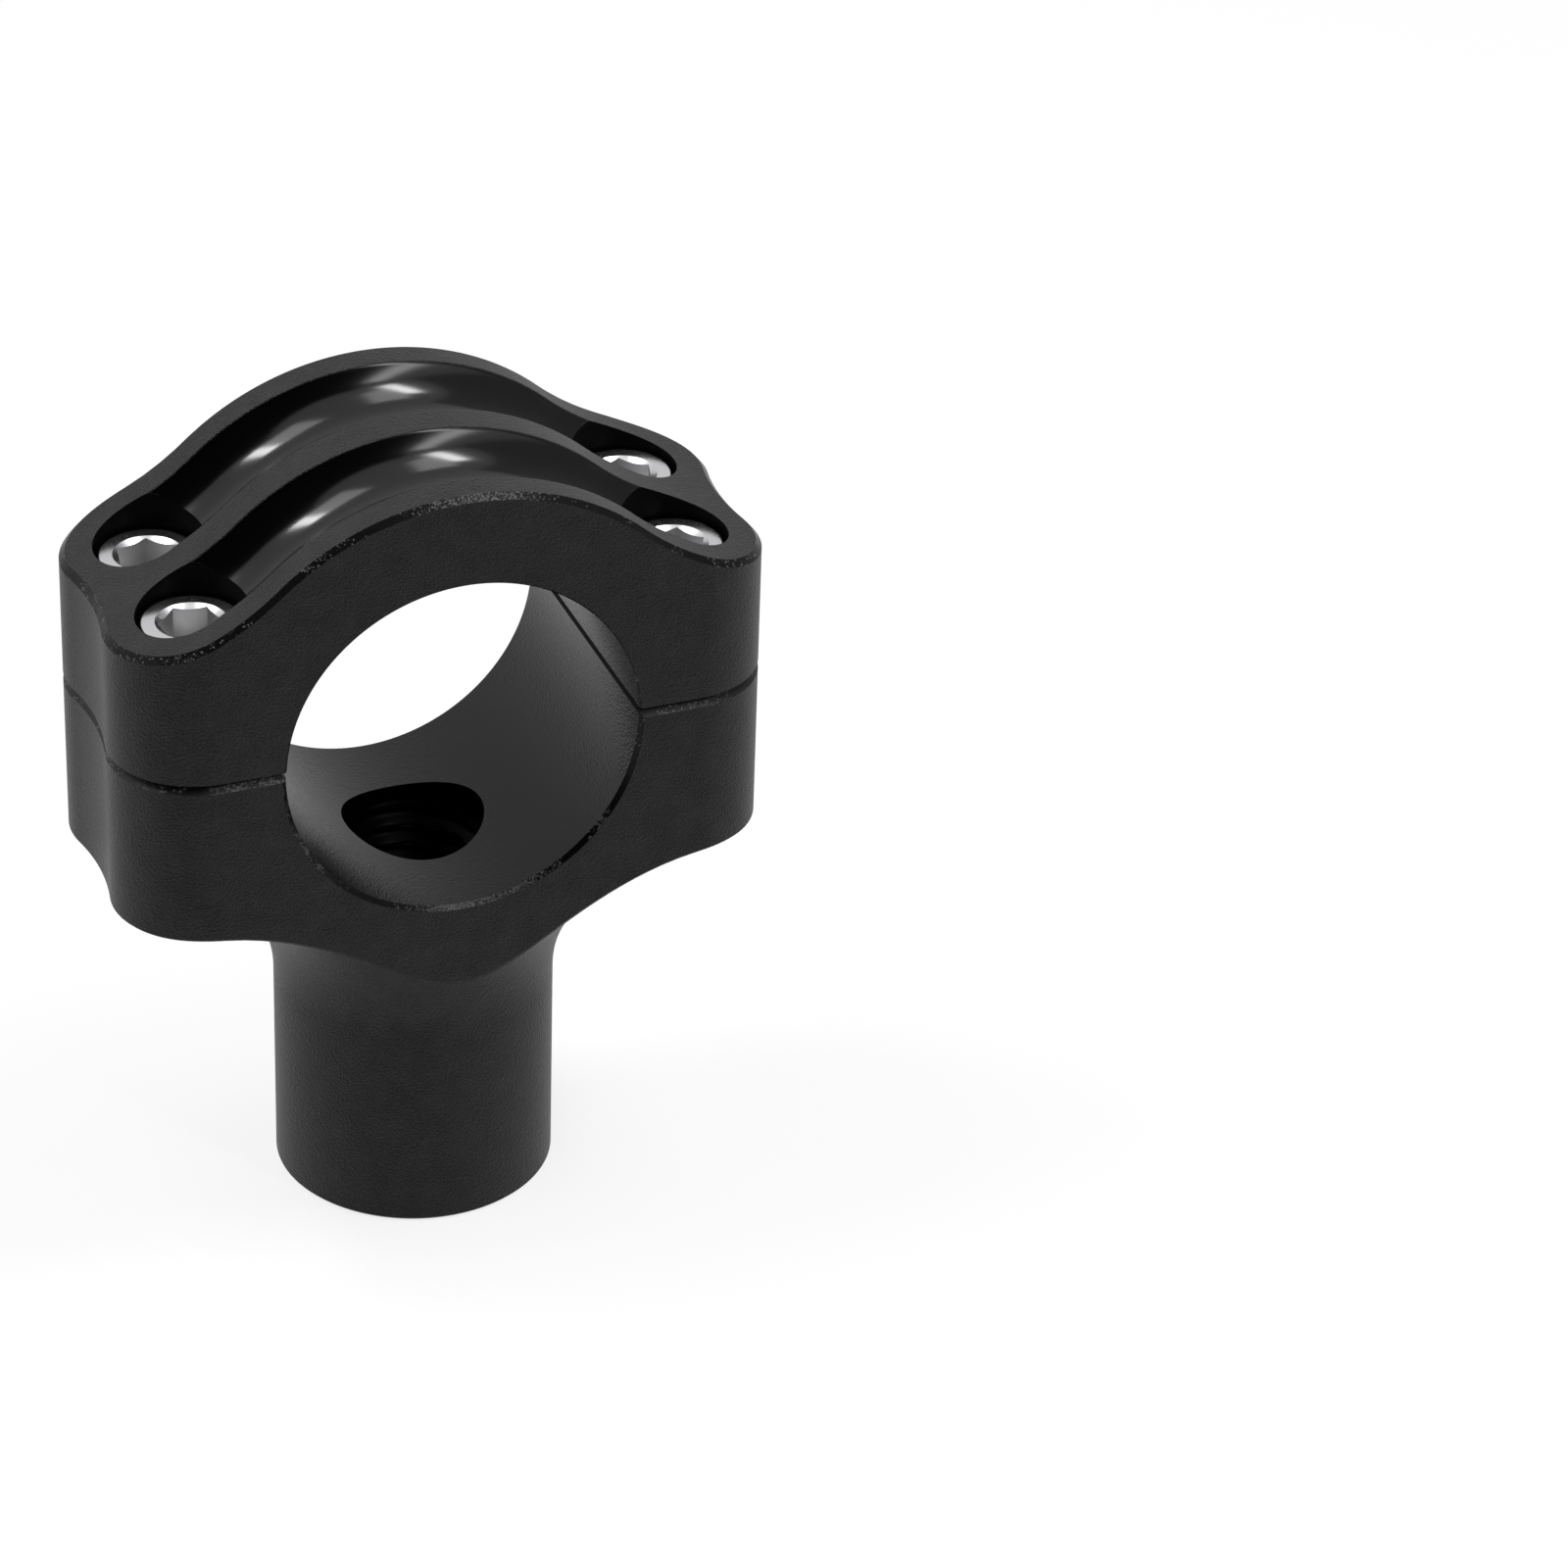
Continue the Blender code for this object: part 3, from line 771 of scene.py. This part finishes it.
def makeScrewMesh():
    # one closed skin from the tip up round the head and down into the socket,
    # with z = 0 at the head's underside
    shape = screwShape
    segments = shape["segments"]
    top = shape["headHeight"]
    turn = 2.0 * math.pi / segments
    angles = [step * turn for step in range(segments)]

    def ringAt(radiusAt, height):
        radii = [radiusAt(step, angle) for step, angle in enumerate(angles)]
        return [Vector((radius * math.cos(angle), radius * math.sin(angle), height))
                for radius, angle in zip(radii, angles)]

    def knurled(step, angle):
        return shape["headRadius"] - shape["knurlDepth"] * (step % 2)

    def hexagon(angle):
        fromFlat = (angle % (math.pi / 3.0)) - math.pi / 6.0
        return shape["acrossFlats"] / 2.0 / math.cos(fromFlat)

    tip = shape["tipEdge"]
    rings = [circle(shape["radius"] - tip, -shape["length"], segments)]
    for row in range(shape["threadRows"] + 1):
        z = -shape["length"] + tip + (shape["length"] - tip) * row / shape["threadRows"]
        rings.append(ringAt(lambda step, angle: shape["radius"] - screwThread(z, angle), z))

    low = shape["knurlEnds"][0]
    high = top - shape["headEdge"] - shape["knurlEnds"][1]
    rings += [circle(shape["headRadius"] - shape["seatEdge"], 0.0, segments),
              circle(shape["headRadius"], shape["seatEdge"], segments),
              circle(shape["headRadius"], low, segments),
              ringAt(knurled, low + shape["knurlLead"]),
              ringAt(knurled, high - shape["knurlLead"]),
              circle(shape["headRadius"], high, segments)]
    for step in range(shape["headEdgeSteps"] + 1):
        angle = math.pi / 2.0 * step / shape["headEdgeSteps"]
        rings.append(circle(shape["headRadius"] - shape["headEdge"] * (1.0 - math.cos(angle)),
                            top - shape["headEdge"] * (1.0 - math.sin(angle)), segments))
    rings.append(circle(shape["socketMouth"], top, segments))

    slope = math.tan(shape["mouthSlope"])
    bottom = top - shape["socketDepth"]
    mouthRing, wallRing = [], []
    for angle in angles:
        radius = hexagon(angle)
        away = Vector((math.cos(angle), math.sin(angle), 0.0)) * radius
        mouthHeight = top - (shape["socketMouth"] - radius) * slope
        mouthRing.append(away + Vector((0.0, 0.0, mouthHeight)))
        wallRing.append(away + Vector((0.0, 0.0, bottom)))
    rings += [mouthRing, wallRing,
              circle(shape["acrossFlats"] / 2.0 * shape["socketFloor"], bottom, segments),
              circle(shape["drillTip"], bottom - shape["drillDepth"], segments)]
    inSocket = 3                 # the last bands lie inside the hexagon
    bands = [0] * (len(rings) - 1 - inSocket) + [1] * inSocket
    screw = skinRings("screw", rings, [brightPlate, socketShadePlate], bands, (0, 1))
    mesh = screw.data
    smoothMesh(mesh, shape["sharpAngle"])
    bpy.data.objects.remove(screw)
    return mesh


def makeScrews():
    mesh = makeScrewMesh()
    screws = {}
    for place, (x, y) in screwPlaces().items():
        screw = bpy.data.objects.new("capScrew_" + place, mesh)
        bpy.context.scene.collection.objects.link(screw)
        turned = Matrix.Rotation(math.radians(screwShape["turns"][place]), 4, "Z")
        height = headUnderside + screwShape["rises"][place]
        screw.matrix_world = Matrix.Translation((x, y, height)) @ turned
        evenShading(screw)
        screws[place] = screw
    return screws


def makeHoleThread():
    # a sleeve just inside the mounting hole's wall
    shape = {
        "outer": 0.00628,
        "root": 0.0062,
        "crest": 0.0054,
        "pitch": 0.00195,
        "rootFlat": 0.12,        # flat share of a turn
        "flank": 0.72,
        "low": 0.0009,
        "high": 0.0328,
        "fade": 0.0016,
        "segments": 96,
        "rowsPerPitch": 14,
        "sharpAngle": math.radians(32.0),
    }
    segments = shape["segments"]
    turn = 2.0 * math.pi / segments
    span = shape["high"] - shape["low"]
    rows = int(span / shape["pitch"] * shape["rowsPerPitch"])
    inner = []
    for row in range(rows + 1):
        z = shape["low"] + span * row / rows
        fade = min(1.0, (z - shape["low"]) / shape["fade"], (shape["high"] - z) / shape["fade"])
        ring = []
        for step in range(segments):
            angle = step * turn
            phase = (z / shape["pitch"] - angle / (2.0 * math.pi)) % 1.0
            rise = 1.0 - abs(phase - 0.5) * 2.0
            tooth = clamp((rise - shape["rootFlat"]) / shape["flank"])
            radius = shape["root"] - (shape["root"] - shape["crest"]) * tooth * fade
            ring.append(Vector((radius * math.cos(angle), radius * math.sin(angle), z)))
        inner.append(ring)
    rings = list(reversed(inner)) + [circle(shape["outer"], shape["low"], segments),
                                     circle(shape["outer"], shape["high"], segments)]
    points = [tuple(point) for ring in rings for point in ring]
    faces = []
    for level in range(len(rings)):
        base = level * segments
        other = ((level + 1) % len(rings)) * segments
        for step in range(segments):
            after = (step + 1) % segments
            faces.append((base + step, base + after, other + after, other + step))
    thread = meshObject("mountThread", points, faces, [holeShadeBlack], [0] * len(faces))
    smoothMesh(thread.data, shape["sharpAngle"])
    return thread


body = makeBody()
print("riser body made:", len(body.data.polygons), "faces")
cap = makeCap()
print("clamp cap made:", len(cap.data.polygons), "faces")
screws = makeScrews()
thread = makeHoleThread()
print("screws and mounting thread made")

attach(body, "root")
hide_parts("riser_body")
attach(thread, "root")
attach(cap, "root")
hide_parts("clamp_cap")
for place, screw in screws.items():
    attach(screw, "root")
    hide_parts("cap_screw_" + place)
print("pieces ride on the frame")


def towards(azimuth, elevation):
    # azimuth 0 is on the camera's side of the bar and 90 on the right
    turn, rise = math.radians(azimuth), math.radians(elevation)
    return Vector((math.sin(turn) * math.cos(rise), -math.cos(turn) * math.cos(rise),
                   math.sin(rise)))


def mixShaders(tree, share, first, second):
    mix = addNode(tree, "ShaderNodeMixShader")
    if isinstance(share, bpy.types.NodeSocket):
        tree.links.new(share, mix.inputs[0])
    else:
        mix.inputs[0].default_value = share
    tree.links.new(first, mix.inputs[1])
    tree.links.new(second, mix.inputs[2])
    return mix.outputs[0]


def backgroundMix(tree, plain, white):
    # white for what the camera, gloss and glass see, the plain shader for the rest
    path = addNode(tree, "ShaderNodeLightPath")
    seen = addMath(tree, "MAXIMUM", path.outputs["Is Camera Ray"], path.outputs["Is Glossy Ray"])
    every = addMath(tree, "MAXIMUM", seen, path.outputs["Is Transmission Ray"])
    return mixShaders(tree, every, plain, white)


def makeWorld():
    settings = {"soft": (0.22, 0.22, 0.22, 1.0), "white": (1.0, 1.0, 1.0, 1.0)}
    world = bpy.data.worlds.new("studio")
    bpy.context.scene.world = world
    world.use_nodes = True
    tree = world.node_tree
    soft = tree.nodes["Background"]
    soft.inputs["Color"].default_value = settings["soft"]
    white = addNode(tree, "ShaderNodeBackground", Color=settings["white"])
    mixed = backgroundMix(tree, soft.outputs[0], white.outputs[0])
    tree.links.new(mixed, tree.nodes["World Output"].inputs["Surface"])


def makeFloor():
    settings = {
        "colour": (0.86, 0.86, 0.86, 1.0),
        "roughness": 0.9,
        "white": (1.0, 1.0, 1.0, 1.0),
        "whiteShare": 0.75,          # of what the camera sees; the rest keeps the shadow
        "whiteStrength": 1.08,
        "size": 6.0,
        "drop": 0.00003,             # under the foot, so the two faces never coincide
    }
    material, tree, shader = newMaterial("paleFloor")
    shader.inputs["Base Color"].default_value = settings["colour"]
    shader.inputs["Roughness"].default_value = settings["roughness"]
    shader.inputs["Specular IOR Level"].default_value = 0.0
    white = addNode(tree, "ShaderNodeEmission", Color=settings["white"],
                    Strength=settings["whiteStrength"])
    seen = mixShaders(tree, settings["whiteShare"], shader.outputs[0], white.outputs[0])
    upper = backgroundMix(tree, shader.outputs[0], seen)
    # clear from below, so the riser's underside can be seen
    side = addNode(tree, "ShaderNodeNewGeometry")
    clear = addNode(tree, "ShaderNodeBsdfTransparent")
    oneSided = mixShaders(tree, side.outputs["Backfacing"], upper, clear.outputs[0])
    tree.links.new(oneSided, tree.nodes["Material Output"].inputs["Surface"])

    half = settings["size"] / 2.0
    corners = [(-half, -half, 0.0), (half, -half, 0.0), (half, half, 0.0), (-half, half, 0.0)]
    floor = meshObject("floor", corners, [(0, 1, 2, 3)], [material], [0])
    floor.matrix_world = Matrix.Translation((0.0, 0.0, -settings["drop"]))


def makeCard(name, settings):
    # a curved card round the riser, seen only in its reflections
    material, tree, shader = newMaterial(name)
    shader.inputs["Base Color"].default_value = settings["colour"]
    shader.inputs["Roughness"].default_value = 1.0
    shader.inputs["Specular IOR Level"].default_value = 0.0
    shader.inputs["Emission Color"].default_value = (1.0, 1.0, 1.0, 1.0)
    shader.inputs["Emission Strength"].default_value = settings["grey"]
    (left, right), (low, high) = settings["azimuths"], settings["elevations"]
    steps, rows = settings["steps"]
    middle = Vector((0.0, 0.0, boreAxis))
    points, faces = [], []
    for step in range(steps + 1):
        azimuth = left + (right - left) * step / steps
        for row in range(rows + 1):
            elevation = low + (high - low) * row / rows
            points.append(middle + towards(azimuth, elevation) * settings["radius"])
    across = rows + 1
    for step in range(steps):
        for row in range(rows):
            corner = step * across + row
            faces.append((corner, corner + across, corner + across + 1, corner + 1))
    card = meshObject(name, points, faces, [material], [0] * len(faces))
    card.visible_camera = False
    card.visible_diffuse = False


def makeSoftbox(name, settings):
    # size is (width, height), and radiance is how bright the lamp's own face is
    width, height = settings["size"]
    away = towards(*settings["from"])
    side = Vector((0.0, 0.0, 1.0)).cross(away).normalized()
    up = away.cross(side)
    lamp = bpy.data.lights.new(name, "AREA")
    lamp.shape = "RECTANGLE"
    lamp.size, lamp.size_y = width, height
    lamp.energy = settings["radiance"] * math.pi * width * height
    holder = bpy.data.objects.new(name, lamp)
    bpy.context.scene.collection.objects.link(holder)
    middle = Vector((0.0, 0.0, boreAxis)) + away * settings["distance"]
    facing = Matrix((side, up, away)).transposed().to_4x4()
    holder.matrix_world = Matrix.Translation(middle) @ facing
    holder.visible_camera = False


def makeCamera():
    settings = {
        "lens": 139.5453,
        "sensor": 36.0,
        "azimuth": -22.8197,
        "elevation": 31.9413,
        "roll": 2.0092,
        "location": (-0.145498, -0.429903, 0.321860),
        "clip": (0.01, 20.0),
    }
    camera = bpy.data.cameras.new("photo camera")
    camera.sensor_width = settings["sensor"]
    camera.lens = settings["lens"]
    camera.clip_start, camera.clip_end = settings["clip"]
    holder = bpy.data.objects.new("photo camera", camera)
    bpy.context.scene.collection.objects.link(holder)
    holder.matrix_world = (Matrix.Translation(settings["location"])
                           @ Matrix.Rotation(math.radians(settings["azimuth"]), 4, "Z")
                           @ Matrix.Rotation(math.radians(90.0 - settings["elevation"]), 4, "X")
                           @ Matrix.Rotation(math.radians(settings["roll"]), 4, "Z"))
    bpy.context.scene.camera = holder


makeWorld()
makeFloor()
makeCard("blackCard", {"colour": (0.004, 0.004, 0.004, 1.0), "grey": 0.0, "radius": 0.8,
                       "azimuths": (-85.0, 22.0), "elevations": (-4.0, 64.0), "steps": (24, 10)})
makeCard("greyCard", {"colour": (0.004, 0.004, 0.004, 1.0), "grey": 0.42, "radius": 0.8,
                      "azimuths": (45.0, 125.0), "elevations": (6.0, 50.0), "steps": (18, 8)})
# "from" is (azimuth, elevation)
makeSoftbox("left softbox", {"from": (-113.0, 57.5), "distance": 0.6,
                             "size": (0.22, 0.066), "radiance": 28.0})
makeSoftbox("left spill", {"from": (-118.0, 69.0), "distance": 0.64,
                           "size": (0.24, 0.22), "radiance": 4.0})
makeSoftbox("right softbox", {"from": (66.0, 63.5), "distance": 0.6,
                              "size": (0.24, 0.06), "radiance": 27.0})
makeSoftbox("right spill", {"from": (85.0, 71.0), "distance": 0.64,
                            "size": (0.28, 0.16), "radiance": 4.0})
makeSoftbox("front strip", {"from": (28.0, 38.0), "distance": 0.6,
                            "size": (0.063, 0.36), "radiance": 8.0})
makeCamera()
bpy.context.scene.view_settings.view_transform = "Standard"
print("studio set")
